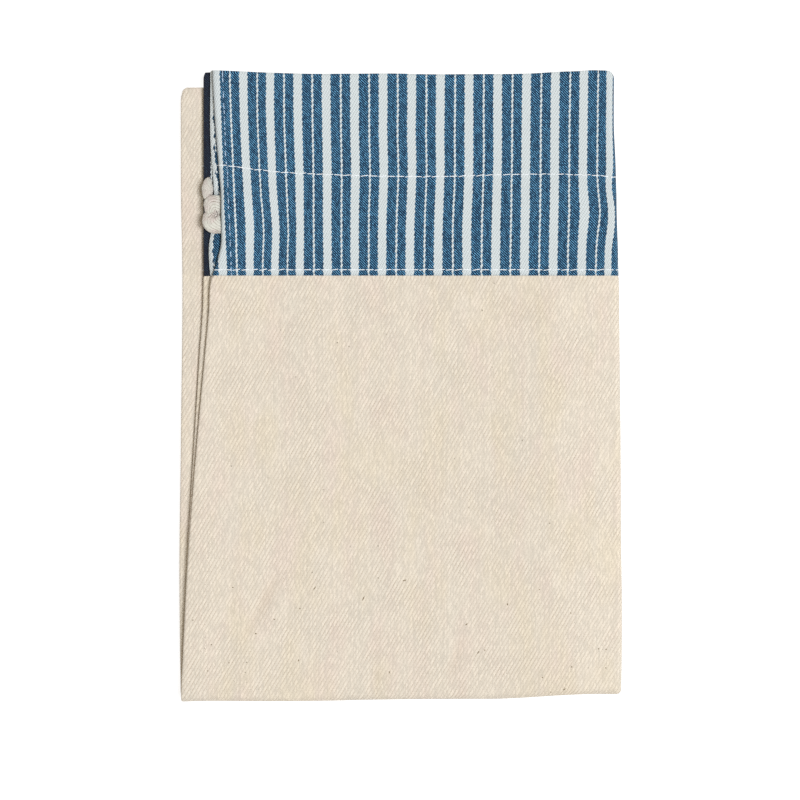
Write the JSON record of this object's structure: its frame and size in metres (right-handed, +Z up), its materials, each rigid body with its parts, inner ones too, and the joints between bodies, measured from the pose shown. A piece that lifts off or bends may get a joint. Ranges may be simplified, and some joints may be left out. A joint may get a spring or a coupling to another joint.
{
  "type": "drawstring bread bag",
  "caption": "Cotton twill bread bag, folded flat in half both ways, with a striped heading round its mouth and a knotted drawstring.",
  "frame": {"origin": "middle of the footprint, on the surface that the folded bag lies on", "axes": "+Z up through the layers, towards the side that faces the viewer; +Y towards the mouth, from the fold across the bag; +X towards the fold along the bag, away from the side seams and the knot"},
  "size_m": [0.1507, 0.2156, 0.0139],
  "materials": {
    "natural_twill": "natural cream cotton twill, matt, with seed flecks",
    "striped_denim": "blue and off-white striped cotton denim, matt",
    "cotton_cord": "soft twisted cotton cord, undyed"
  },
  "bodies": {
    "root": {"body": "natural_twill", "heading": "striped_denim", "drawstring": "cotton_cord"}
  },
  "joints": []
}
